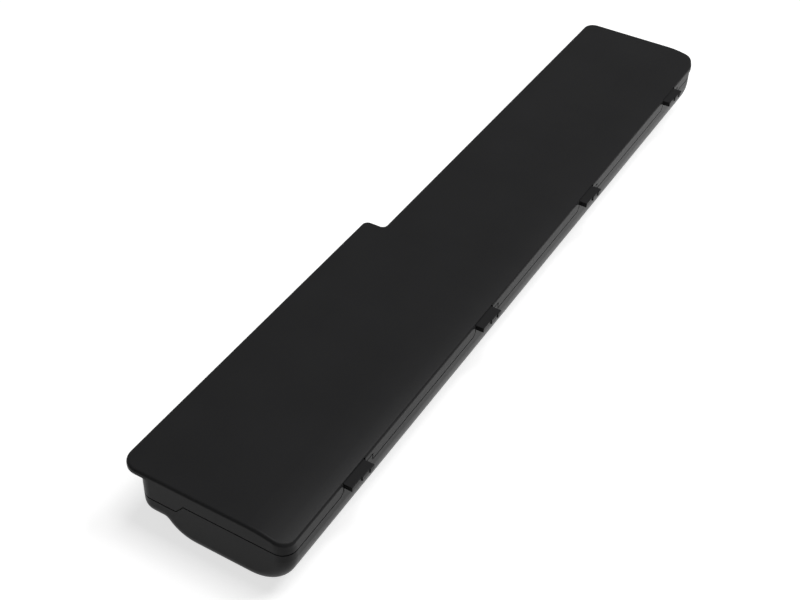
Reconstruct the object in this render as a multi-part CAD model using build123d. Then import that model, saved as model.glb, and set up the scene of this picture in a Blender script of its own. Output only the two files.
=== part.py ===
from build123d import *
import os
from math import acos, atan2, cos, degrees, radians, sin, sqrt

os.makedirs("parts", exist_ok=True)

# A laptop battery, in millimetres. +X runs along the pack to its narrow end, -Y is the hook side, +Z is the
# cover side, and the origin is under the middle of the whole pack. The case is sized from the cells outwards.

# Cells, in end-to-end pairs with every positive end towards +X
CELL_DIAMETER = 18.3
CELL_LENGTH = 65.0
PAIR_COUNT = 4
CELL_CLEARANCE = 0.2
ROW_GAP = 0.2
CELL_BASE_ROUND = 0.8
BEAD_DEPTH = 0.7
BEAD_WIDTH = 1.6
BEAD_FROM_RIM = 2.6
CRIMP_BEVEL = 0.6
CRIMP_OPENING = 12.0
CAP_DIAMETER = 8.4
CAP_WELL_DEPTH = 1.2

# Insulating rings on the positive ends
RING_THICKNESS = 0.25
RING_INSET = 0.95
RING_CAP_CLEARANCE = 0.5

# Nickel straps and strips
STRAP_THICKNESS = 0.2
STRAP_WIDTH = 8.0
FOLD_GAP = 1.1
STRIP_WIDTH = 2.4
STRIP_FOOT = 3.4
STRIP_BEND = 1.2
STRIP_PAD = 4.0
STRIP_JOG = 2.0
STRIP_END_ROOM = 3.0
STRIP_BELOW_BOARD_TOP = 0.3
STRIP_CELL_CLEARANCE = 0.2
LANE_CLEARANCE = 0.2
LANE_PITCH = 0.35
SHORT_STRIP_RUN = 2.0

# Foam end pads, the far one thicker because the case is rounder there
PAD_THICKNESS = 1.0
FAR_PAD_EXTRA = 2.7
PAD_LENGTH = 22.0
PAD_HEIGHT = 6.0

# Circuit board on edge in the bay beside the cells
BOARD_LENGTH = 100.0
BOARD_THICKNESS = 1.0
BOARD_NEAR_ROOM = 8.5
BOARD_FAR_ROOM = 3.8
BOARD_CORNER = 1.0
SHEET_THICKNESS = 0.3
SHEET_END_MARGIN = 4.0
SHEET_BELOW_STRIPS = 0.5

# Parts on the board, evenly spaced between the connector and the far end
COMPONENT_END_ROOM = 5.0
CHIP_WIDTH = 4.2
CHIP_THICKNESS = 1.3
CHIP_CHAMFER = 0.3
LEAD_WIDTH = 0.4
LEAD_THICKNESS = 0.2
LEAD_REACH = 0.9
LEAD_END_ROOM = 0.85
GAUGE_LENGTH = 9.0
GAUGE_LEAD_PITCH = 0.9
PROTECTOR_LENGTH = 5.0
PROTECTOR_LEAD_PITCH = 0.8
TRANSISTOR_LENGTH = 5.6
TRANSISTOR_LEAD_PITCH = 1.27
FUSE_LENGTH = 8.0
FUSE_WIDTH = 4.8
FUSE_THICKNESS = 2.0
RESISTOR_LENGTH = 6.4
RESISTOR_WIDTH = 3.2
RESISTOR_THICKNESS = 0.7
END_CAP_LENGTH = 1.1
END_CAP_RELIEF = 0.12

# Thermistor bead on the shoulder of a cell
THERMISTOR_DIAMETER = 2.0
THERMISTOR_LENGTH = 3.2
THERMISTOR_GAP = 0.1
THERMISTOR_ANGLE = 42.0
THERMISTOR_FROM_BOARD_END = 34.0
THERMISTOR_LEAD_DIAMETER = 0.5
THERMISTOR_LEAD_SPACING = 1.2

# Slotted connector on the board
CONTACT_COUNT = 8
CONTACT_PITCH = 2.5
CONNECTOR_DEPTH = 5.4
CONNECTOR_HEIGHT = 6.0
CONNECTOR_END_WALL = 1.4
CONNECTOR_FROM_BOARD_END = 6.0
CONNECTOR_CLEARANCE = 0.2
SLOT_WIDTH = 1.1
SLOT_DEPTH = 3.8
SLOT_HEIGHT = 4.4
CONTACT_THICKNESS = 0.2
CONTACT_SETBACK = 0.6
CONTACT_TAIL = 0.6
CONTACT_CLEARANCE = 0.05
WINDOW_DEPTH = 3.2
WINDOW_BELOW_PARTING = 0.75

# Case walls and the plate's overhangs
WALL = 1.2
ROOF = 1.2
RIM = 1.7
NEAR_LIP = 0.5
FAR_LIP = 0.5
SIDE_LIP = 4.75
CROWN_WIDTH = 12.0
CROWN_DROP = 2.2
EDGE_ROUND = 0.9
NEAR_END_ROUND = 4.2
FAR_END_ROUND = 7.9
END_ROUND_EASE = 0.8

# Trough and ledge of the lower shell, whose wall is thinnest at the corners where a cell lies closest
HOOK_SIDE_ROOM = 0.6
HOOK_CORNER_EASE = 1.75
HOOK_INNER_EASE = 0.65
BAY_CORNER_EASE = 1.45
LEDGE_HEIGHT = 5.0
LEDGE_CORNER = 4.5
LEDGE_BLEND = 0.3
NARROW_BLEND = 8.1
STEP_ROUND = 2.0
RIB_THICKNESS = 1.2
RIB_FROM_CELL_END = 14.0
RIB_BELOW_LEDGE = 0.7
RIB_CLEARANCE = 0.05
BOARD_STAY_THICKNESS = 1.2
BOARD_STAY_DEPTH = 1.6
BOARD_STAY_HEIGHT = 4.0
BOARD_STAY_FROM_END = 2.0

# Corner radii of the cover plate, seen from above, and the slant that takes its far hook corner back
NEAR_HOOK_CORNER = 4.2
NEAR_BAY_CORNER = 5.0
STEP_OUTER_CORNER = 2.2
STEP_INNER_CORNER = 1.5
FAR_BAY_CORNER = 4.0
FAR_HOOK_CORNER = 3.5
FAR_SLANT_CORNER = 8.0
FAR_SLANT_LENGTH = 5.5
FAR_SLANT_WIDTH = 2.55

# Parting line, with its tongue and the raised lands at the hooks
HOOK_BELOW_EDGE = 0.4
LAND_BELOW_HOOK = 1.75
LAND_RISE = 2.0
LAND_NEAR_ROOM = 1.4
LAND_SLOPE_RUN = 2.3
LAND_FAR_ROOM = 3.9
BAY_PARTING_DROP = 3.2
PARTING_STEP_INSET = 8.1
PARTING_STEP_RUN = 2.5
SEAM_GAP = 0.4
TONGUE_HEIGHT = 1.0

# Hooks on the lower shell
HOOK_COUNT = 4
HOOK_NEAR_ROOM = 31.0
HOOK_FAR_ROOM = 28.1
HOOK_LENGTH = 9.9
HOOK_REACH = 2.5
HOOK_THICKNESS = 1.6
HOOK_EDGE_ROUND = 0.2
SHOULDER_FROM_NEAR = 4.5
SHOULDER_REACH = 0.3
NIB_LENGTH = 1.9
NIB_REACH = 0.25

# Pocket for the laptop's latch, in the bay wall
LATCH_LENGTH = 12.0
LATCH_HEIGHT = 3.8
LATCH_DEPTH = 2.4
LATCH_WALL = 1.0
LATCH_FROM_STEP = 14.0
LATCH_ABOVE_TONGUE = 0.6

# Lengths along the pack
CELL_RADIUS = CELL_DIAMETER / 2
JUNCTION_GAP = 2 * STRAP_THICKNESS + FOLD_GAP
NEAR_GAP = STRAP_THICKNESS + PAD_THICKNESS
FAR_GAP = NEAR_GAP + FAR_PAD_EXTRA
STACK_LENGTH = PAIR_COUNT * CELL_LENGTH + (PAIR_COUNT - 1) * JUNCTION_GAP
LENGTH = STACK_LENGTH + NEAR_GAP + FAR_GAP + 2 * WALL + NEAR_LIP + FAR_LIP
NEAR_X = -LENGTH / 2
FAR_X = LENGTH / 2
NEAR_WALL_X = NEAR_X + NEAR_LIP
FAR_WALL_X = FAR_X - FAR_LIP
STACK_X = NEAR_WALL_X + WALL + NEAR_GAP
BOARD_X = NEAR_WALL_X + WALL + BOARD_NEAR_ROOM
BOARD_END_X = BOARD_X + BOARD_LENGTH
CONNECTOR_X = BOARD_X + CONNECTOR_FROM_BOARD_END
CONNECTOR_END_X = CONNECTOR_X + CONTACT_COUNT * CONTACT_PITCH + 2 * CONNECTOR_END_WALL
STEP_WALL_X = BOARD_END_X + BOARD_FAR_ROOM + WALL
STEP_X = STEP_WALL_X + SIDE_LIP
HOOK_PITCH = (LENGTH - HOOK_NEAR_ROOM - HOOK_FAR_ROOM) / (HOOK_COUNT - 1)
HOOK_X = [NEAR_X + HOOK_NEAR_ROOM + HOOK_PITCH * index for index in range(HOOK_COUNT)]
CELL_X = [STACK_X + (CELL_LENGTH + JUNCTION_GAP) * index for index in range(PAIR_COUNT)]

# Widths across the pack
SEAT_RADIUS = CELL_RADIUS + CELL_CLEARANCE + WALL
NARROW_WIDTH = HOOK_SIDE_ROOM + 2 * SEAT_RADIUS + CELL_DIAMETER + ROW_GAP
BAY_DEPTH = SHEET_THICKNESS + BOARD_THICKNESS + CONNECTOR_DEPTH + CONNECTOR_CLEARANCE
WIDTH = NARROW_WIDTH + BAY_DEPTH + SIDE_LIP
HOOK_WALL_Y = -(WIDTH - HOOK_REACH - SHOULDER_REACH - NIB_REACH) / 2
NARROW_WALL_Y = HOOK_WALL_Y + NARROW_WIDTH
BAY_WALL_Y = NARROW_WALL_Y + BAY_DEPTH
ROW_A_Y = HOOK_WALL_Y + HOOK_SIDE_ROOM + SEAT_RADIUS
ROW_B_Y = ROW_A_Y + CELL_DIAMETER + ROW_GAP
BOARD_Y = NARROW_WALL_Y - WALL + SHEET_THICKNESS
BOARD_FACE_Y = BOARD_Y + BOARD_THICKNESS
CONNECTOR_FRONT_Y = BOARD_FACE_Y + CONNECTOR_DEPTH
SLOT_BACK_Y = CONNECTOR_FRONT_Y - SLOT_DEPTH
FIRST_LANE_Y = NARROW_WALL_Y - WALL - LANE_CLEARANCE - STRAP_THICKNESS / 2
LANE_Y = [FIRST_LANE_Y - LANE_PITCH * index for index in range(PAIR_COUNT)]
CROWN_START_Y = HOOK_WALL_Y + CROWN_WIDTH
CROWN_RADIUS = (CROWN_WIDTH**2 + CROWN_DROP**2) / (2 * CROWN_DROP)

# Heights
CELL_Z = SEAT_RADIUS
ROOF_Z = CELL_Z + CELL_RADIUS + CELL_CLEARANCE
HEIGHT = ROOF_Z + ROOF
HOOK_TOP_Z = HEIGHT - CROWN_DROP - HOOK_BELOW_EDGE
LAND_Z = HOOK_TOP_Z - LAND_BELOW_HOOK
PARTING_Z = LAND_Z - LAND_RISE
BAY_PARTING_Z = PARTING_Z - BAY_PARTING_DROP
LEDGE_Z = LEDGE_HEIGHT + WALL
WINDOW_HEIGHT = BAY_PARTING_Z - WINDOW_BELOW_PARTING - LEDGE_Z
LANE_REACH = LANE_Y[-1] - STRAP_THICKNESS / 2 - ROW_B_Y
STRIP_Z = CELL_Z + sqrt((CELL_RADIUS + STRIP_CELL_CLEARANCE) ** 2 - LANE_REACH**2)
STRIP_TOP_Z = STRIP_Z + STRIP_WIDTH
BOARD_TOP_Z = STRIP_TOP_Z + STRIP_BELOW_BOARD_TOP
SHEET_TOP_Z = STRIP_Z - SHEET_BELOW_STRIPS
COMPONENT_Z = (LEDGE_Z + BOARD_TOP_Z) / 2

# Corners of the trough, and the rings' diameters
HOOK_CORNER = SEAT_RADIUS + HOOK_CORNER_EASE
HOOK_INNER_CORNER = SEAT_RADIUS - WALL + HOOK_INNER_EASE
BAY_CORNER = SEAT_RADIUS + BAY_CORNER_EASE
RING_OUTSIDE = CELL_DIAMETER - 2 * RING_INSET
RING_INSIDE = CAP_DIAMETER + 2 * RING_CAP_CLEARANCE

# Room beyond the case for the solids that only cut it
SPARE = 5.0
NEARLY = 1e-4


def block(low, high):
    """A box between two corners."""
    size = Vector(*high) - Vector(*low)
    return Pos(*low) * Box(size.X, size.Y, size.Z, align=(Align.MIN, Align.MIN, Align.MIN))


def flat_face(*points):
    """A flat outline through the given corners."""
    return make_face(Polyline(*points, close=True))


def along_x(section, start, end):
    """A section drawn in Y and Z, drawn out along the pack."""
    return extrude(Plane.YZ.offset(start) * section, end - start)


def crown(inset, drop, left):
    """The top of a section, from its left wall over the flat and down the crown to the hook side."""
    radius = CROWN_RADIUS - drop
    end = degrees(acos((HOOK_WALL_Y + inset - CROWN_START_Y) / radius))
    flat = Line((left, HEIGHT - drop), (CROWN_START_Y, HEIGHT - drop))
    roll = CenterArc((CROWN_START_Y, HEIGHT - CROWN_RADIUS), radius, 90, end - 90)
    return flat, roll


def crown_height(y):
    """Height of the cover's outer face at a place across the pack."""
    if y >= CROWN_START_Y:
        return HEIGHT
    return HEIGHT - CROWN_RADIUS + sqrt(CROWN_RADIUS**2 - (CROWN_START_Y - y) ** 2)


def bay_side(inset, drop):
    """The trough's far corner where it turns out to the ledge, and the bay's wall."""
    reach = BAY_CORNER + LEDGE_BLEND
    blend_y = ROW_B_Y + sqrt(reach**2 - (reach - LEDGE_HEIGHT) ** 2)
    blend_z = LEDGE_HEIGHT - LEDGE_BLEND
    turn = degrees(atan2(blend_z - BAY_CORNER, blend_y - ROW_B_Y))
    ledge_end = BAY_WALL_Y - LEDGE_CORNER
    return [
        CenterArc((ROW_B_Y, BAY_CORNER), BAY_CORNER - inset, -90, turn + 90),
        CenterArc((blend_y, blend_z), LEDGE_BLEND + inset, turn + 180, -turn - 90),
        Line((blend_y, LEDGE_HEIGHT + inset), (ledge_end, LEDGE_HEIGHT + inset)),
        CenterArc((ledge_end, LEDGE_HEIGHT + LEDGE_CORNER), LEDGE_CORNER - inset, -90, 90),
        Line((BAY_WALL_Y - inset, LEDGE_HEIGHT + LEDGE_CORNER), (BAY_WALL_Y - inset, HEIGHT - drop)),
    ]


def narrow_side(inset, drop):
    """The trough's far corner where it turns up into the narrow part's wall."""
    reach = BAY_CORNER - NARROW_BLEND
    blend_y = NARROW_WALL_Y - NARROW_BLEND
    blend_z = BAY_CORNER - sqrt(reach**2 - (blend_y - ROW_B_Y) ** 2)
    turn = degrees(atan2(blend_z - BAY_CORNER, blend_y - ROW_B_Y))
    return [
        CenterArc((ROW_B_Y, BAY_CORNER), BAY_CORNER - inset, -90, turn + 90),
        CenterArc((blend_y, blend_z), NARROW_BLEND - inset, turn, -turn),
        Line((NARROW_WALL_Y - inset, blend_z), (NARROW_WALL_Y - inset, HEIGHT - drop)),
    ]


def case_section(inset, drop, side, wall_y):
    """Section of the case with every wall moved in by inset and the roof lowered by drop."""
    flat, roll = crown(inset, drop, wall_y - inset)
    radius = HOOK_CORNER + (HOOK_INNER_CORNER - HOOK_CORNER) * inset / WALL
    corner_y = HOOK_WALL_Y + inset + radius
    corner_z = inset + radius
    hook_wall = Line(roll @ 1, (HOOK_WALL_Y + inset, corner_z))
    hook_corner = CenterArc((corner_y, corner_z), radius, 180, 90)
    floor = Line((corner_y, inset), (ROW_B_Y, inset))
    return make_face([hook_wall, hook_corner, floor, *side(inset, drop), flat, roll])


def rounded_ends(body, inset, drop):
    """Round the edges of both end faces, below the roof, as far as the corners they turn allow."""
    top = HEIGHT - drop - CROWN_DROP - EDGE_ROUND
    smaller = inset * (1 + END_ROUND_EASE / WALL)
    near_round = min(NEAR_END_ROUND, LEDGE_CORNER - NEARLY) - smaller
    far_round = min(FAR_END_ROUND, NARROW_BLEND - NEARLY) - smaller
    for end_x, radius in ((NEAR_WALL_X + inset, near_round), (FAR_WALL_X - inset, far_round)):
        on_end = body.edges().filter_by_position(Axis.X, end_x - NEARLY, end_x + NEARLY)
        body = fillet([edge for edge in on_end if edge.center().Z < top], radius)
    return body


def case_body(inset, drop):
    """The closed form of the case under its plate, with all its walls moved in by inset."""
    near = NEAR_WALL_X + inset
    step = STEP_WALL_X - inset
    far = FAR_WALL_X - inset
    wall_y = BAY_WALL_Y - inset
    outside_y = HOOK_WALL_Y - SPARE
    plan = flat_face((near - SPARE, outside_y), (step, outside_y), (step, wall_y), (near - SPARE, wall_y))
    plan = fillet(plan.vertices().sort_by_distance((step, wall_y))[0], STEP_ROUND - inset)
    bay = along_x(case_section(inset, drop, bay_side, BAY_WALL_Y), near, step)
    bay &= extrude(plan, HEIGHT + SPARE)
    narrow = along_x(case_section(inset, drop, narrow_side, NARROW_WALL_Y), step, far)
    return rounded_ends(bay + narrow, inset, drop)


def plate_plan():
    """Outline of the cover plate from above, with its step, its slant and its rounded corners."""
    narrow_y = NARROW_WALL_Y + SIDE_LIP
    bay_y = BAY_WALL_Y + SIDE_LIP
    corners = {
        (NEAR_X, HOOK_WALL_Y): NEAR_HOOK_CORNER,
        (FAR_X - FAR_SLANT_LENGTH, HOOK_WALL_Y): FAR_SLANT_CORNER,
        (FAR_X, HOOK_WALL_Y + FAR_SLANT_WIDTH): FAR_HOOK_CORNER,
        (FAR_X, narrow_y): FAR_BAY_CORNER,
        (STEP_X, narrow_y): STEP_INNER_CORNER,
        (STEP_X, bay_y): STEP_OUTER_CORNER,
        (NEAR_X, bay_y): NEAR_BAY_CORNER,
    }
    outline = flat_face(*corners)
    for corner, radius in corners.items():
        outline = fillet(outline.vertices().sort_by_distance(corner)[0], radius)
    return outline


def cover_plate():
    """The plate of the cover, crowned down to the hook side, with its upper edge rounded."""
    left = HOOK_WALL_Y + WIDTH + SPARE
    flat, roll = crown(-WALL, 0, left)
    under_flat, under_roll = crown(-WALL, RIM, left)
    hook_edge = Line(roll @ 1, under_roll @ 1)
    left_edge = Line(under_flat @ 0, flat @ 0)
    section = make_face([flat, roll, hook_edge, under_roll, under_flat, left_edge])
    plate = along_x(section, NEAR_X - SPARE, FAR_X + SPARE) & extrude(plate_plan(), HEIGHT + SPARE)
    rim = []
    for edge in plate.edges():
        middle = edge @ 0.5
        on_top = abs(middle.Z - crown_height(middle.Y)) < NEARLY
        where_crown_starts = abs(middle.Y - CROWN_START_Y) < NEARLY
        if on_top and not where_crown_starts:
            rim.append(edge)
    return fillet(rim, EDGE_ROUND)


def land(hook_x, growth):
    """The raised part of the lower shell's wall at a hook, right through the wall, grown all round."""
    near = hook_x - HOOK_LENGTH / 2
    far = hook_x + HOOK_LENGTH / 2
    foot_z = PARTING_Z - SPARE
    bank_near = near - LAND_NEAR_ROOM
    bank_far = far + LAND_FAR_ROOM
    slope_top = (bank_near + LAND_SLOPE_RUN, LAND_Z)
    bank = flat_face(
        (bank_near, foot_z), (bank_near, PARTING_Z), slope_top, (bank_far, LAND_Z), (bank_far, foot_z)
    )
    seat = flat_face((near, foot_z), (near, HOOK_TOP_Z), (far, HOOK_TOP_Z), (far, foot_z))
    outline = bank + seat
    if growth:
        outline = offset(outline, growth, kind=Kind.INTERSECTION)
    inside_y = HOOK_WALL_Y + 2 * WALL
    return extrude(Plane.XZ.offset(-inside_y) * outline, 2 * WALL + SPARE)


def above_parting(lift, growth):
    """All that lies above the parting line raised by lift, apart from the lands grown by growth."""
    step_y = NARROW_WALL_Y - PARTING_STEP_INSET
    low_y = HOOK_WALL_Y - SPARE
    high_y = HOOK_WALL_Y + WIDTH + SPARE
    top_z = HEIGHT + SPARE
    section = flat_face(
        (low_y, PARTING_Z + lift),
        (step_y, PARTING_Z + lift),
        (step_y + PARTING_STEP_RUN, BAY_PARTING_Z + lift),
        (high_y, BAY_PARTING_Z + lift),
        (high_y, top_z),
        (low_y, top_z),
    )
    region = along_x(section, NEAR_X - SPARE, FAR_X + SPARE)
    for hook_x in HOOK_X:
        region -= land(hook_x, growth)
    return region


def latch_pocket(wall):
    """The block of the latch pocket, with the given wall added round it and behind it."""
    far = STEP_WALL_X - LATCH_FROM_STEP
    low_z = BAY_PARTING_Z + TONGUE_HEIGHT + LATCH_ABOVE_TONGUE + LATCH_WALL
    outside_y = BAY_WALL_Y - WALL / 2 if wall else BAY_WALL_Y + SPARE
    low = (far - LATCH_LENGTH - wall, BAY_WALL_Y - LATCH_DEPTH - wall, low_z - wall)
    return block(low, (far + wall, outside_y, low_z + LATCH_HEIGHT + wall))


def board_stay_places():
    """Places along the pack of the two ribs that hold the board's ends."""
    return (BOARD_X + BOARD_STAY_FROM_END, BOARD_END_X - BOARD_STAY_FROM_END)


def make_top_cover(shell, middle):
    """The upper shell: plate, skirt and rebate, the latch pocket and two ribs that hold the board down."""
    rebate = middle - above_parting(TONGUE_HEIGHT, 0)
    cover = (shell & above_parting(SEAM_GAP, SEAM_GAP)) - rebate
    cover = cover + latch_pocket(LATCH_WALL) - latch_pocket(0)
    half = BOARD_STAY_THICKNESS / 2
    for x in board_stay_places():
        cover += block((x - half, BOARD_Y, BOARD_TOP_Z), (x + half, BOARD_FACE_Y, ROOF_Z + ROOF / 2))
    return cover


def make_hook(hook_x):
    """One hook: a flat tongue that widens to a shoulder and a nib at its far end, its outer edges rounded."""
    near = hook_x - HOOK_LENGTH / 2
    far = hook_x + HOOK_LENGTH / 2
    root_y = HOOK_WALL_Y + WALL / 2
    tip_y = HOOK_WALL_Y - HOOK_REACH
    shoulder_x = near + SHOULDER_FROM_NEAR
    shoulder_y = tip_y - SHOULDER_REACH
    shoulder = [(shoulder_x, tip_y), (shoulder_x, shoulder_y)]
    nib_x = far - NIB_LENGTH
    nib_y = shoulder_y - NIB_REACH
    nib = [(nib_x, shoulder_y), (nib_x, nib_y), (far, nib_y)]
    plan = flat_face((near, root_y), (near, tip_y), *shoulder, *nib, (far, root_y))
    tongue = extrude(Pos(0, 0, HOOK_TOP_Z - HOOK_THICKNESS) * plan, HOOK_THICKNESS)
    outer = tongue.edges().filter_by(Axis.X).filter_by_position(Axis.Y, nib_y - NEARLY, tip_y + NEARLY)
    return fillet(outer, HOOK_EDGE_ROUND)


def cell_ribs():
    """Ribs across the trough, cut to the cells they cradle, two to a cell."""
    top_z = LEDGE_Z - RIB_BELOW_LEDGE
    low_y = HOOK_WALL_Y - SPARE
    high_y = NARROW_WALL_Y + SPARE
    section = case_section(WALL / 2, ROOF, narrow_side, NARROW_WALL_Y)
    section &= flat_face((low_y, 0), (high_y, 0), (high_y, top_z), (low_y, top_z))
    for row_y in (ROW_A_Y, ROW_B_Y):
        section -= Pos(row_y, CELL_Z) * Circle(CELL_RADIUS + RIB_CLEARANCE)
    ribs = []
    for cell_x in CELL_X:
        for x in (cell_x + RIB_FROM_CELL_END, cell_x + CELL_LENGTH - RIB_FROM_CELL_END):
            ribs.append(along_x(section, x - RIB_THICKNESS / 2, x + RIB_THICKNESS / 2))
    return ribs


def make_bottom_case(shell, middle, cavity):
    """The lower shell: trough, ledge, tongue, lands and hooks, cradling ribs and the connector's window."""
    tongue = (middle - cavity) & above_parting(-TONGUE_HEIGHT, 0)
    tongue -= above_parting(TONGUE_HEIGHT, 0)
    case = (shell - above_parting(0, 0)) + tongue
    for hook_x in HOOK_X:
        case += make_hook(hook_x)
    for rib in cell_ribs():
        case += rib
    half = BOARD_STAY_THICKNESS / 2
    for x in board_stay_places():
        low = (x - half, BOARD_FACE_Y, LEDGE_Z - WALL / 2)
        case += block(low, (x + half, BOARD_FACE_Y + BOARD_STAY_DEPTH, LEDGE_Z + BOARD_STAY_HEIGHT))
    window_y = CONNECTOR_FRONT_Y - WINDOW_DEPTH
    low = (CONNECTOR_X - CONNECTOR_CLEARANCE, window_y, -SPARE)
    high = (CONNECTOR_END_X + CONNECTOR_CLEARANCE, BAY_WALL_Y + SPARE, LEDGE_Z + WINDOW_HEIGHT)
    return case - block(low, high)


def make_cell(start_x, row_y):
    """A cylindrical cell: drawn can, rolled bead, crimped rim and the positive cap in its well."""
    rim = CELL_LENGTH - RING_THICKNESS
    bead_end = rim - BEAD_FROM_RIM
    bead_start = bead_end - BEAD_WIDTH
    bead_floor = ((bead_start + bead_end) / 2, CELL_RADIUS - BEAD_DEPTH)
    well = rim - CAP_WELL_DEPTH
    opening = CRIMP_OPENING / 2
    cap = CAP_DIAMETER / 2
    outline = [
        Line((0, 0), (0, CELL_RADIUS - CELL_BASE_ROUND)),
        CenterArc((CELL_BASE_ROUND, CELL_RADIUS - CELL_BASE_ROUND), CELL_BASE_ROUND, 180, -90),
        Line((CELL_BASE_ROUND, CELL_RADIUS), (bead_start, CELL_RADIUS)),
        ThreePointArc((bead_start, CELL_RADIUS), bead_floor, (bead_end, CELL_RADIUS)),
        Polyline((bead_end, CELL_RADIUS), (rim - CRIMP_BEVEL, CELL_RADIUS), (rim, CELL_RADIUS - CRIMP_BEVEL)),
        Polyline((rim, CELL_RADIUS - CRIMP_BEVEL), (rim, opening), (well, opening), (well, cap)),
        Polyline((well, cap), (CELL_LENGTH, cap), (CELL_LENGTH, 0), (0, 0)),
    ]
    return Pos(start_x, row_y, CELL_Z) * revolve(make_face(outline), Axis.X)


def make_ring(start_x, row_y):
    """A paper ring on a cell's crimped rim, round its cap."""
    section = Pos(row_y, CELL_Z) * (Circle(RING_OUTSIDE / 2) - Circle(RING_INSIDE / 2))
    end = start_x + CELL_LENGTH
    return along_x(section, end - RING_THICKNESS, end)


def strap_plate(start, lane_y):
    """One flat of a strap across a pair of cells, with an arm up to a strip's lane if one is given."""
    low_z = CELL_Z - STRAP_WIDTH / 2
    high_z = CELL_Z + STRAP_WIDTH / 2
    low_y = ROW_A_Y - STRAP_WIDTH / 2
    high_y = ROW_B_Y + STRAP_WIDTH / 2
    outline = flat_face((low_y, low_z), (high_y, low_z), (high_y, high_z), (low_y, high_z))
    if lane_y is not None:
        arm_y = lane_y - STRAP_THICKNESS / 2 - STRIP_BEND
        top = STRIP_TOP_Z
        outline += flat_face((ROW_B_Y, CELL_Z), (high_y, CELL_Z), (high_y, top), (ROW_B_Y, top))
        outline += flat_face((ROW_B_Y, STRIP_Z), (arm_y, STRIP_Z), (arm_y, top), (ROW_B_Y, top))
    return along_x(outline, start, start + STRAP_THICKNESS)


def make_junction_strap(start_x, lane_y):
    """A strap folded under the gap between two pairs, flat on the ends of both."""
    end_x = start_x + JUNCTION_GAP
    low_z = CELL_Z - STRAP_WIDTH / 2
    low = (start_x, ROW_A_Y - STRAP_WIDTH / 2, low_z)
    fold = block(low, (end_x, ROW_B_Y + STRAP_WIDTH / 2, low_z + STRAP_THICKNESS))
    return strap_plate(start_x, None) + fold + strap_plate(end_x - STRAP_THICKNESS, lane_y)


def make_strip(foot_x, lane_y, pad_x, way):
    """A flat strip on edge: a foot on its strap, a bend to its lane, a run, a jog and a pad on the board."""
    half = STRAP_THICKNESS / 2
    pad_y = BOARD_Y - half
    bend_x = foot_x + way * STRIP_BEND
    bend_y = lane_y - STRIP_BEND
    jog_x = pad_x - way * STRIP_JOG
    end_x = pad_x + way * STRIP_PAD
    route = [(bend_x, lane_y), (jog_x, lane_y), (pad_x, pad_y), (end_x, pad_y)]
    inner_side = [(x, y - half) for x, y in route]
    outer_side = [(x, y + half) for x, y in reversed(route)]
    foot_end_x = foot_x + way * STRAP_THICKNESS
    foot_y = lane_y - STRIP_FOOT
    foot = [(foot_x, bend_y), (foot_x, foot_y), (foot_end_x, foot_y), (foot_end_x, bend_y)]
    plan = flat_face(*inner_side, *outer_side, *foot)
    return extrude(Pos(0, 0, STRIP_Z) * plan, STRIP_WIDTH)


def make_end_pad(start, end):
    """A foam pad between an end strap and an end wall."""
    middle_y = (ROW_A_Y + ROW_B_Y) / 2
    low = (start, middle_y - PAD_LENGTH / 2, CELL_Z - PAD_HEIGHT / 2)
    return block(low, (end, middle_y + PAD_LENGTH / 2, CELL_Z + PAD_HEIGHT / 2))


def make_board():
    """The circuit board, standing on the ledge."""
    board = block((BOARD_X, BOARD_Y, LEDGE_Z), (BOARD_END_X, BOARD_FACE_Y, BOARD_TOP_Z))
    return fillet(board.edges().filter_by(Axis.Y), BOARD_CORNER)


def make_insulator():
    """The paper sheet on the board's cell side, below the strips."""
    low = (BOARD_X + SHEET_END_MARGIN, BOARD_Y - SHEET_THICKNESS, LEDGE_Z)
    return block(low, (BOARD_END_X - SHEET_END_MARGIN, BOARD_Y, SHEET_TOP_Z))


def make_chip(length, lead_pitch):
    """A chip on the board's face, starting at x = 0, with as many leads along its sides as its length takes."""
    lead_count = int((length - 2 * LEAD_END_ROOM) / lead_pitch) + 1
    low_z = COMPONENT_Z - CHIP_WIDTH / 2
    high_z = COMPONENT_Z + CHIP_WIDTH / 2
    chip = block((0, BOARD_FACE_Y, low_z), (length, BOARD_FACE_Y + CHIP_THICKNESS, high_z))
    chip = chamfer(chip.faces().sort_by(Axis.Y)[-1].edges(), CHIP_CHAMFER)
    first_lead = length / 2 - lead_pitch * (lead_count - 1) / 2 - LEAD_WIDTH / 2
    for index in range(lead_count):
        lead_x = first_lead + lead_pitch * index
        low = (lead_x, BOARD_FACE_Y, low_z - LEAD_REACH)
        chip += block(low, (lead_x + LEAD_WIDTH, BOARD_FACE_Y + LEAD_THICKNESS, high_z + LEAD_REACH))
    return chip


def make_capped_part(length, width, thickness):
    """A block starting at x = 0 with a metal cap at each end, as a board's fuse or resistor has."""
    half = width / 2
    core_half = half - END_CAP_RELIEF
    top_y = BOARD_FACE_Y + thickness
    low = (0, BOARD_FACE_Y, COMPONENT_Z - core_half)
    part = block(low, (length, top_y - END_CAP_RELIEF, COMPONENT_Z + core_half))
    for cap_x in (0, length - END_CAP_LENGTH):
        low = (cap_x, BOARD_FACE_Y, COMPONENT_Z - half)
        part += block(low, (cap_x + END_CAP_LENGTH, top_y, COMPONENT_Z + half))
    return part


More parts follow.
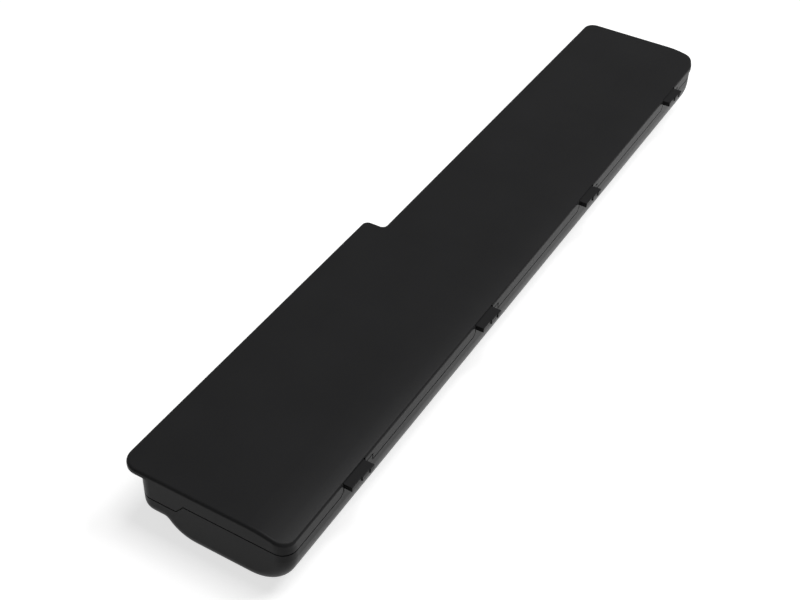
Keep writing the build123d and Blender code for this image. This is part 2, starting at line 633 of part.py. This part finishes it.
def make_components():
    """The parts on the board's face, in an even row from the connector to the far end."""
    row = {
        "cutoff_fuse": make_capped_part(FUSE_LENGTH, FUSE_WIDTH, FUSE_THICKNESS),
        "discharge_transistor": make_chip(TRANSISTOR_LENGTH, TRANSISTOR_LEAD_PITCH),
        "charge_transistor": make_chip(TRANSISTOR_LENGTH, TRANSISTOR_LEAD_PITCH),
        "sense_resistor": make_capped_part(RESISTOR_LENGTH, RESISTOR_WIDTH, RESISTOR_THICKNESS),
        "protector_chip": make_chip(PROTECTOR_LENGTH, PROTECTOR_LEAD_PITCH),
        "gauge_chip": make_chip(GAUGE_LENGTH, GAUGE_LEAD_PITCH),
    }
    lengths = [part.bounding_box().size.X for part in row.values()]
    gap = (BOARD_END_X - COMPONENT_END_ROOM - CONNECTOR_END_X - sum(lengths)) / len(row)
    pieces = {}
    x = CONNECTOR_END_X
    for (name, part), length in zip(row.items(), lengths):
        pieces[name] = Pos(x + gap, 0, 0) * part
        x += gap + length
    return pieces


def make_thermistor():
    """A glass bead against the shoulder of a cell, with two leads to the board."""
    x = BOARD_X + THERMISTOR_FROM_BOARD_END
    radius = THERMISTOR_DIAMETER / 2
    reach = CELL_RADIUS + THERMISTOR_GAP + radius
    y = ROW_B_Y + reach * cos(radians(THERMISTOR_ANGLE))
    z = CELL_Z + reach * sin(radians(THERMISTOR_ANGLE))
    section = Pos(y, z) * Circle(radius)
    bead = along_x(section, x - THERMISTOR_LENGTH / 2, x + THERMISTOR_LENGTH / 2)
    bead = fillet(bead.edges().filter_by(GeomType.CIRCLE), radius / 2)
    for side in (-1, 1):
        lead = Circle(THERMISTOR_LEAD_DIAMETER / 2)
        lead_x = x + side * THERMISTOR_LEAD_SPACING / 2
        bead += extrude(Plane.XZ.offset(-BOARD_Y) * Pos(lead_x, z) * lead, BOARD_Y - y)
    return bead


def contact_places():
    """Middle of each contact's slot along the pack."""
    first = CONNECTOR_X + CONNECTOR_END_WALL + CONTACT_PITCH / 2
    return [first + CONTACT_PITCH * index for index in range(CONTACT_COUNT)]


def contact_tail(x, spare):
    """The tail of a contact, from its slot back to the board, grown by a clearance."""
    half = CONTACT_TAIL / 2 + spare
    middle_z = LEDGE_Z + SLOT_HEIGHT / 2
    high = (x + half, SLOT_BACK_Y + CONTACT_THICKNESS, middle_z + half)
    return block((x - half, BOARD_FACE_Y, middle_z - half), high)


def make_connector_body():
    """The connector's block, with a row of slots open to the front and below."""
    low = (CONNECTOR_X, BOARD_FACE_Y, LEDGE_Z)
    body = block(low, (CONNECTOR_END_X, CONNECTOR_FRONT_Y, LEDGE_Z + CONNECTOR_HEIGHT))
    half = SLOT_WIDTH / 2
    for x in contact_places():
        body -= block((x - half, SLOT_BACK_Y, LEDGE_Z), (x + half, CONNECTOR_FRONT_Y, LEDGE_Z + SLOT_HEIGHT))
        body -= contact_tail(x, CONTACT_CLEARANCE)
    return body


def make_contact(x):
    """One forked contact: two leaves against the sides of a slot, a back and a tail to the board."""
    half = SLOT_WIDTH / 2
    gap = half - CONTACT_THICKNESS
    front_y = CONNECTOR_FRONT_Y - CONTACT_SETBACK
    low_z = LEDGE_Z + CONTACT_SETBACK
    high_z = LEDGE_Z + SLOT_HEIGHT
    fork = block((x - half, SLOT_BACK_Y, low_z), (x + half, front_y, high_z))
    fork -= block((x - gap, SLOT_BACK_Y + CONTACT_THICKNESS, low_z), (x + gap, front_y, high_z))
    return fork + contact_tail(x, 0)


def make_shells():
    """Both shells, cut from one hollow form along the parting line."""
    body_drop = (EDGE_ROUND + RIM) / 2
    cavity = case_body(WALL, ROOF)
    middle = case_body(WALL / 2, RIM)
    shell = case_body(0, body_drop) + cover_plate() - cavity
    return {
        "top_cover": make_top_cover(shell, middle),
        "bottom_case": make_bottom_case(shell, middle, cavity),
    }


def make_cells():
    """The cells and the insulating rings on their positive ends."""
    pieces = {}
    for index, x in enumerate(CELL_X, start=1):
        for side, row_y in (("hook_side", ROW_A_Y), ("board_side", ROW_B_Y)):
            pieces[f"cell_{index}_{side}"] = make_cell(x, row_y)
            pieces[f"insulating_ring_{index}_{side}"] = make_ring(x, row_y)
    return pieces


def make_conductors():
    """The straps on the cells' ends and the strips that lead from them to the board."""
    first_x = STACK_X - STRAP_THICKNESS
    last_x = STACK_X + STACK_LENGTH
    near_pad_x = BOARD_X + STRIP_END_ROOM
    far_pad_x = BOARD_END_X - STRIP_END_ROOM
    pieces = {
        "negative_end_strap": strap_plate(first_x, LANE_Y[0]),
        "negative_strip": make_strip(first_x - STRAP_THICKNESS, LANE_Y[0], near_pad_x, 1),
        "positive_end_strap": strap_plate(last_x, LANE_Y[0]),
        "positive_strip": make_strip(last_x + 2 * STRAP_THICKNESS, LANE_Y[0], far_pad_x, -1),
    }
    for junction in range(1, PAIR_COUNT):
        lane = PAIR_COUNT - junction
        strap_x = CELL_X[junction] - JUNCTION_GAP
        foot_x = CELL_X[junction] - STRAP_THICKNESS
        pad_x = min(far_pad_x - (STRIP_PAD + STRIP_JOG) * lane, foot_x - SHORT_STRIP_RUN - STRIP_JOG)
        pieces[f"junction_strap_{junction}"] = make_junction_strap(strap_x, LANE_Y[lane])
        pieces[f"sense_strip_{junction}"] = make_strip(foot_x, LANE_Y[lane], pad_x, -1)
    return pieces


def make_connector():
    """The connector's block and its contacts."""
    pieces = {"connector_body": make_connector_body()}
    for index, x in enumerate(contact_places(), start=1):
        pieces[f"connector_contact_{index}"] = make_contact(x)
    return pieces


pieces = {
    **make_shells(),
    **make_cells(),
    **make_conductors(),
    "near_end_pad": make_end_pad(NEAR_WALL_X + WALL, STACK_X - STRAP_THICKNESS),
    "far_end_pad": make_end_pad(STACK_X + STACK_LENGTH + STRAP_THICKNESS, FAR_WALL_X - WALL),
    "protection_board": make_board(),
    "board_insulator": make_insulator(),
    **make_components(),
    "thermistor": make_thermistor(),
    **make_connector(),
}
for name, piece in pieces.items():
    export_step(piece, f"parts/{name}.step")
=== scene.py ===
from math import cos, radians, sin

import bpy
from mathutils import Matrix, Vector


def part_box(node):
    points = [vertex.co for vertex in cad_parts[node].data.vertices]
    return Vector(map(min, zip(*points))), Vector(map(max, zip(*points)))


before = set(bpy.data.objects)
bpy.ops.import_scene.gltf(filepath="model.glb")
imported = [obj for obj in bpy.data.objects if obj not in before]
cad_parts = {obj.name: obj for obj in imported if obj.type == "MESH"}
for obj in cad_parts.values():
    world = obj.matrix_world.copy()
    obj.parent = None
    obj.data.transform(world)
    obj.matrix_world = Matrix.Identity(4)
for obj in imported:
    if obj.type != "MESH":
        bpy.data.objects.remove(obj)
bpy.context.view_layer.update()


# Lower shell of the case
# A trough of black ABS and polycarbonate that cradles the cells, with the four bay hooks moulded on.
# It comes out of a spark-eroded mould, so every outer face has the same fine dull grain.
CASE_DARK = (0.015, 0.015, 0.0155)
CASE_LIGHT = (0.021, 0.021, 0.0215)
CASE_GLOSS = 0.06
CASE_ROUGHNESS = 0.26
SPARK_GRAIN = 0.00035
SPARK_DEPTH = 0.000012
SPARK_TINT = 0.5
SPARK_ROUGHENING = 0.1
CLOUD_SIZE = 0.02
CLOUD_TINT = 0.5
CLOUD_ROUGHENING = 0.06

MIX_MASK, MIX_FROM, MIX_TO = 0, 6, 7
MIX_COLOUR = 2


class Signal:
    """A socket of a shader tree. Arithmetic on it adds Math nodes to the same tree."""

    def __init__(self, tree, socket=None):
        self.tree = tree
        self.socket = socket

    def add(self, kind, settings, sockets, output=0):
        """Add a node: its settings first, then the values or links of its sockets."""
        node = self.tree.nodes.new("ShaderNode" + kind)
        for name, value in settings.items():
            setattr(node, name, value)
        for key, value in sockets.items():
            if isinstance(value, Signal):
                self.tree.links.new(value.socket, node.inputs[key])
            else:
                node.inputs[key].default_value = value
        return Signal(self.tree, node.outputs[output] if node.outputs else None)

    def math(self, operation, first, second):
        return self.add("Math", {"operation": operation}, {0: first, 1: second})

    def __add__(self, other):
        return self.math("ADD", self, other)

    def __radd__(self, other):
        return self.math("ADD", other, self)

    def __sub__(self, other):
        return self.math("SUBTRACT", self, other)

    def __rsub__(self, other):
        return self.math("SUBTRACT", other, self)

    def __mul__(self, other):
        return self.math("MULTIPLY", self, other)

    def __rmul__(self, other):
        return self.math("MULTIPLY", other, self)


def new_finish(name):
    """An empty material, its tree and its place in the part's own frame."""
    material = bpy.data.materials.new(name)
    material.use_nodes = True
    material.node_tree.nodes.clear()
    tree = Signal(material.node_tree)
    return material, tree, tree.add("TexCoord", {}, {}, "Object")


def grain(tree, place, size, detail=2.0):
    """Noise with grains of the given size in metres, around a half."""
    return tree.add("TexNoise", {}, {"Vector": place, "Scale": 1 / size, "Detail": detail}, "Fac")


def tint(tree, mask, dark, light):
    """A colour between two, by a mask. Each of the two is a plain colour or a signal."""
    sockets = {MIX_MASK: mask}
    for key, colour in ((MIX_FROM, dark), (MIX_TO, light)):
        sockets[key] = colour if isinstance(colour, Signal) else (*colour, 1)
    return tree.add("Mix", {"data_type": "RGBA", "clamp_factor": True}, sockets, MIX_COLOUR)


def relief(tree, height, depth):
    """A normal from a height between 0 and 1 that stands for the given depth in metres."""
    return tree.add("Bump", {}, {"Strength": 1.0, "Distance": depth, "Height": height})


def surface(tree, sockets):
    """The material's surface, with everything not named left at its default."""
    shader = tree.add("BsdfPrincipled", {}, sockets)
    tree.add("OutputMaterial", {}, {"Surface": shader})


def dress(material, *nodes):
    """Give CAD nodes a finish."""
    for node in nodes:
        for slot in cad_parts[node].material_slots:
            slot.material = material


case_plastic, tree, place = new_finish("case_plastic")
spark = grain(tree, place, SPARK_GRAIN)
clouds = grain(tree, place, CLOUD_SIZE)
surface(tree, {
    "Base Color": tint(tree, spark * SPARK_TINT + clouds * CLOUD_TINT, CASE_DARK, CASE_LIGHT),
    "Roughness": CASE_ROUGHNESS + spark * SPARK_ROUGHENING + clouds * CLOUD_ROUGHENING,
    "Specular IOR Level": CASE_GLOSS,
    "Normal": relief(tree, spark, SPARK_DEPTH),
})
dress(case_plastic, "bottom_case")


# Cells
# Drawn and plated steel cans with a shrunk plastic sleeve, crimped over the positive cap.
# They lie in two rows of four, held by the ribs of the lower shell.
STEEL = (0.55, 0.54, 0.52)
SLEEVE_DARK = (0.035, 0.12, 0.2)
SLEEVE_LIGHT = (0.05, 0.16, 0.26)
SLEEVE_LAP = 0.0006
SLEEVE_ROUGHNESS = 0.26
SLEEVE_ROUGHENING = 0.12
RIPPLE_SIZE = 0.004
RIPPLE_DEPTH = 0.00002


def nodes_with(*words):
    """Names of the CAD nodes that hold one of the words."""
    return [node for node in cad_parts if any(word in node for word in words)]


for node in nodes_with("cell_"):
    low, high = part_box(node)
    sleeve, tree, place = new_finish(f"sleeve_{node}")
    along = tree.add("SeparateXYZ", {}, {"Vector": place}, "X")
    past_start = tree.math("GREATER_THAN", along, low.x + SLEEVE_LAP)
    before_end = tree.math("LESS_THAN", along, high.x - SLEEVE_LAP)
    sleeved = past_start * before_end
    ripple = grain(tree, place, RIPPLE_SIZE)
    surface(tree, {
        "Base Color": tint(tree, sleeved, STEEL, tint(tree, ripple, SLEEVE_DARK, SLEEVE_LIGHT)),
        "Metallic": 1 - sleeved,
        "Roughness": SLEEVE_ROUGHNESS + ripple * SLEEVE_ROUGHENING,
        "Normal": relief(tree, ripple, RIPPLE_DEPTH),
    })
    dress(sleeve, node)


# Insulating rings
# Punched from pressed barley paper, gummed to the crimped rim of each cell round its cap.
PAPER_DARK = (0.5, 0.44, 0.3)
PAPER_LIGHT = (0.72, 0.66, 0.5)
PAPER_ROUGHNESS = 0.75
PAPER_ROUGHENING = 0.2
PULP_SIZE = 0.0005
PULP_DETAIL = 6.0
PULP_DEPTH = 0.00004


def grained_surface(tree, grains, dark, light, roughness, roughening, depth, metallic=0.0):
    """A surface that one grain tints, roughens and raises."""
    surface(tree, {
        "Base Color": tint(tree, grains, dark, light),
        "Metallic": metallic,
        "Roughness": roughness + grains * roughening,
        "Normal": relief(tree, grains, depth),
    })


ring_paper, tree, place = new_finish("ring_paper")
pulp = grain(tree, place, PULP_SIZE, PULP_DETAIL)
grained_surface(tree, pulp, PAPER_DARK, PAPER_LIGHT, PAPER_ROUGHNESS, PAPER_ROUGHENING, PULP_DEPTH)
dress(ring_paper, *nodes_with("insulating_ring_"))


# Nickel straps and strips
# Slit from rolled nickel and spot-welded: straps across the ends of each pair,
# strips on edge from the straps to the board.
NICKEL_DARK = (0.52, 0.5, 0.46)
NICKEL_LIGHT = (0.68, 0.66, 0.61)
NICKEL_ROUGHNESS = 0.24
NICKEL_ROUGHENING = 0.18
ROLL_MARKS_PER_METRE = (40, 4000, 4000)
ROLL_MARK_DETAIL = 3.0
ROLL_MARK_DEPTH = 0.000004

nickel, tree, place = new_finish("nickel")
stretch = tree.add("Mapping", {}, {"Vector": place, "Scale": ROLL_MARKS_PER_METRE})
roll_marks = grain(tree, stretch, 1.0, ROLL_MARK_DETAIL)
grained_surface(
    tree, roll_marks, NICKEL_DARK, NICKEL_LIGHT, NICKEL_ROUGHNESS, NICKEL_ROUGHENING, ROLL_MARK_DEPTH,
    metallic=1.0,
)
dress(nickel, *nodes_with("_strap", "_strip"))


# End pads
# Black closed-cell foam, cut from sheet and pressed between the end straps and the end walls.
FOAM_DARK = (0.02, 0.02, 0.02)
FOAM_LIGHT = (0.06, 0.06, 0.06)
FOAM_ROUGHNESS = 0.8
FOAM_ROUGHENING = 0.15
BUBBLES_PER_METRE = 1400.0
BUBBLE_DEPTH = 0.0002

foam, tree, place = new_finish("foam")
bubbles = tree.add("TexVoronoi", {}, {"Vector": place, "Scale": BUBBLES_PER_METRE}, "Distance")
grained_surface(tree, bubbles, FOAM_DARK, FOAM_LIGHT, FOAM_ROUGHNESS, FOAM_ROUGHENING, BUBBLE_DEPTH)
dress(foam, "near_end_pad", "far_end_pad")


# Circuit board
# Glass laminate under green solder mask, standing on edge on the ledge of the lower shell.
MASK_DARK = (0.012, 0.075, 0.03)
MASK_LIGHT = (0.03, 0.16, 0.06)
MASK_ROUGHNESS = 0.35
MASK_ROUGHENING = 0.15
WEAVE_SIZE = 0.0006
WEAVE_DEPTH = 0.00001
WEAVE_TINT = 0.5
TRACKS_ON_EDGE = (radians(90), 0, 0)
TRACK_SCALE = 180.0
TRACK_WIDTH = 0.03
TRACK_TINT = 0.5

board_mask, tree, place = new_finish("solder_mask")
tracks = tree.add("TexBrick", {}, {
    "Vector": tree.add("Mapping", {}, {"Vector": place, "Rotation": TRACKS_ON_EDGE}),
    "Scale": TRACK_SCALE,
    "Mortar Size": TRACK_WIDTH,
}, "Fac")
weave = grain(tree, place, WEAVE_SIZE)
surface(tree, {
    "Base Color": tint(tree, weave * WEAVE_TINT + tracks * TRACK_TINT, MASK_DARK, MASK_LIGHT),
    "Roughness": MASK_ROUGHNESS + weave * MASK_ROUGHENING,
    "Normal": relief(tree, weave, WEAVE_DEPTH),
})
dress(board_mask, "protection_board")


# Insulating sheet
# Cut from the same pressed paper as the rings, and gummed to the board's cell side.
dress(ring_paper, "board_insulator")


# Chips on the board
# Moulded black resin round a tinned lead frame, soldered to the board's face.
RESIN_DARK = (0.018, 0.018, 0.019)
RESIN_LIGHT = (0.035, 0.035, 0.036)
RESIN_ROUGHNESS = 0.4
RESIN_ROUGHENING = 0.2
FILLER_SIZE = 0.00012
FILLER_DEPTH = 0.00001
TINNED_LEAD = (0.6, 0.6, 0.58)
LEAD_HEIGHT = 0.00021

chip_resin, tree, place = new_finish("chip_resin")
filler = grain(tree, place, FILLER_SIZE)
height = tree.add("SeparateXYZ", {}, {"Vector": place}, "Y")
lead = tree.math("LESS_THAN", height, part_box("gauge_chip")[0].y + LEAD_HEIGHT)
surface(tree, {
    "Base Color": tint(tree, lead, tint(tree, filler, RESIN_DARK, RESIN_LIGHT), TINNED_LEAD),
    "Metallic": lead,
    "Roughness": RESIN_ROUGHNESS + filler * RESIN_ROUGHENING,
    "Normal": relief(tree, filler, FILLER_DEPTH),
})
dress(chip_resin, "gauge_chip", "protector_chip", "charge_transistor", "discharge_transistor")


# Fuse and sense resistor
# Fired ceramic blocks with tinned caps over both ends, soldered beside the chips.
# One ceramic finish covers the caps as well.
CERAMIC_DARK = (0.45, 0.43, 0.39)
CERAMIC_LIGHT = (0.66, 0.64, 0.6)
CERAMIC_ROUGHNESS = 0.45
CERAMIC_ROUGHENING = 0.2
SPECKLE_SIZE = 0.0002
SPECKLE_DEPTH = 0.00001

ceramic, tree, place = new_finish("fired_ceramic")
speckle = grain(tree, place, SPECKLE_SIZE)
grained_surface(
    tree, speckle, CERAMIC_DARK, CERAMIC_LIGHT, CERAMIC_ROUGHNESS, CERAMIC_ROUGHENING, SPECKLE_DEPTH
)
dress(ceramic, "cutoff_fuse", "sense_resistor")


# Thermistor
# A bead dipped in black resin on two tinned leads, held against a cell's shoulder.
# It lies below the lead height of the chips, so their finish shows it as tinned metal all over.
dress(chip_resin, "thermistor")


# Connector
# A block of black glass-filled plastic on the board, with a slot for each blade of the laptop.
BLOCK_DARK = (0.012, 0.012, 0.012)
BLOCK_LIGHT = (0.02, 0.02, 0.021)
BLOCK_ROUGHNESS = 0.38
BLOCK_ROUGHENING = 0.16
FIBRE_SIZE = 0.0003
FIBRE_DETAIL = 4.0
FIBRE_DEPTH = 0.00001

connector_plastic, tree, place = new_finish("connector_plastic")
fibres = grain(tree, place, FIBRE_SIZE, FIBRE_DETAIL)
grained_surface(tree, fibres, BLOCK_DARK, BLOCK_LIGHT, BLOCK_ROUGHNESS, BLOCK_ROUGHENING, FIBRE_DEPTH)
dress(connector_plastic, "connector_body")


# Contacts
# Forked springs stamped from bronze strip and gold plated, one in each slot of the connector.
GOLD_DARK = (0.72, 0.5, 0.2)
GOLD_LIGHT = (0.86, 0.64, 0.3)
GOLD_ROUGHNESS = 0.22
GOLD_ROUGHENING = 0.12
PLATING_SIZE = 0.0004
PLATING_DEPTH = 0.000004

gold, tree, place = new_finish("plated_contact")
plating = grain(tree, place, PLATING_SIZE)
grained_surface(
    tree, plating, GOLD_DARK, GOLD_LIGHT, GOLD_ROUGHNESS, GOLD_ROUGHENING, PLATING_DEPTH, metallic=1.0
)
dress(gold, *nodes_with("connector_contact_"))


# Upper shell of the case
# The cover: the same plastic and grain as the lower shell, welded to it along the tongue.
dress(case_plastic, "top_cover")


# Floor
# A plain white sweep under the pack, turned up far away, white to the camera and in reflections.
# It is only partly its own light, so it keeps the pack's shadow.
FLOOR_SIZE = 12.0
FLOOR_TURN_UP = 1.6
FLOOR_WHITE = 0.5
FLOOR_GLOW = 0.7

floor_mesh = bpy.data.meshes.new("floor")
edge = FLOOR_SIZE / 2
plan = [(-edge, -edge), (edge, -edge), (edge, edge), (-edge, edge)]
corners = [(x, y, z) for z in (0, FLOOR_TURN_UP) for x, y in plan]
faces = [(0, 1, 2, 3), (0, 4, 5, 1), (1, 5, 6, 2), (2, 6, 7, 3), (3, 7, 4, 0)]
floor_mesh.from_pydata(corners, [], faces)
floor = bpy.data.objects.new("floor", floor_mesh)
bpy.context.scene.collection.objects.link(floor)
sweep, tree, _ = new_finish("sweep")
seen = tree.add("LightPath", {}, {}, "Is Camera Ray")
for ray in ("Is Glossy Ray", "Is Transmission Ray"):
    seen = seen + tree.add("LightPath", {}, {}, ray)
white = tree.add("BsdfDiffuse", {}, {"Color": (FLOOR_WHITE, FLOOR_WHITE, FLOOR_WHITE, 1)})
glow = tree.add("Emission", {}, {"Strength": seen * FLOOR_GLOW})
both = tree.add("AddShader", {}, {0: white, 1: glow})
tree.add("OutputMaterial", {}, {"Surface": both})
floor.data.materials.append(sweep)


# Studio light
# Dim white surroundings, a soft box overhead and another beyond the hook side, which the crown catches.
SKY_STRENGTH = 0.1
OVERHEAD_PLACE = (0.0, -0.05, 0.6)
OVERHEAD_SIZE = 0.25
OVERHEAD_WATTS = 1.8
FILL_PLACE = (0.36, -0.38, 0.8)
FILL_SIZE = 0.35
FILL_WATTS = 4.8

world = bpy.data.worlds.new("studio")
bpy.context.scene.world = world
world.use_nodes = True
world.node_tree.nodes.clear()
sky = Signal(world.node_tree)
sky.add("OutputWorld", {}, {
    "Surface": sky.add("Background", {}, {"Color": (1, 1, 1, 1), "Strength": SKY_STRENGTH}),
})


def soft_box(name, place, size, watts):
    """A square soft box that faces the middle of the pack."""
    light = bpy.data.lights.new(name, "AREA")
    light.size = size
    light.energy = watts
    box = bpy.data.objects.new(name, light)
    box.location = place
    box.rotation_euler = (-Vector(place)).to_track_quat("-Z", "Y").to_euler()
    bpy.context.scene.collection.objects.link(box)


soft_box("overhead_box", OVERHEAD_PLACE, OVERHEAD_SIZE, OVERHEAD_WATTS)
soft_box("fill_box", FILL_PLACE, FILL_SIZE, FILL_WATTS)


# Camera
# It looks down along the pack from its wide end, a little to the hook side, as in the photograph.
CAMERA_PLACE = (-0.301438, -0.146684, 0.27781)
CAMERA_HEADING = 29.43
CAMERA_PITCH = 40.96
CAMERA_ROLL = 1.9
FOCAL_PIXELS = 1338.0
PICTURE_WIDTH = 800
SENSOR_WIDTH = 36.0

heading = radians(CAMERA_HEADING)
pitch = radians(CAMERA_PITCH)
forward = Vector((cos(pitch) * cos(heading), cos(pitch) * sin(heading), -sin(pitch)))
level = Vector((sin(heading), -cos(heading), 0))
right = Matrix.Rotation(radians(-CAMERA_ROLL), 3, forward) @ level
up = right.cross(forward)
turn = Matrix((right, up, -forward)).transposed().to_4x4()
lens = bpy.data.cameras.new("camera")
lens.sensor_width = SENSOR_WIDTH
lens.lens = FOCAL_PIXELS / PICTURE_WIDTH * SENSOR_WIDTH
camera = bpy.data.objects.new("camera", lens)
camera.matrix_world = Matrix.Translation(CAMERA_PLACE) @ turn
bpy.context.scene.collection.objects.link(camera)
bpy.context.scene.camera = camera
bpy.context.scene.view_settings.view_transform = "Standard"
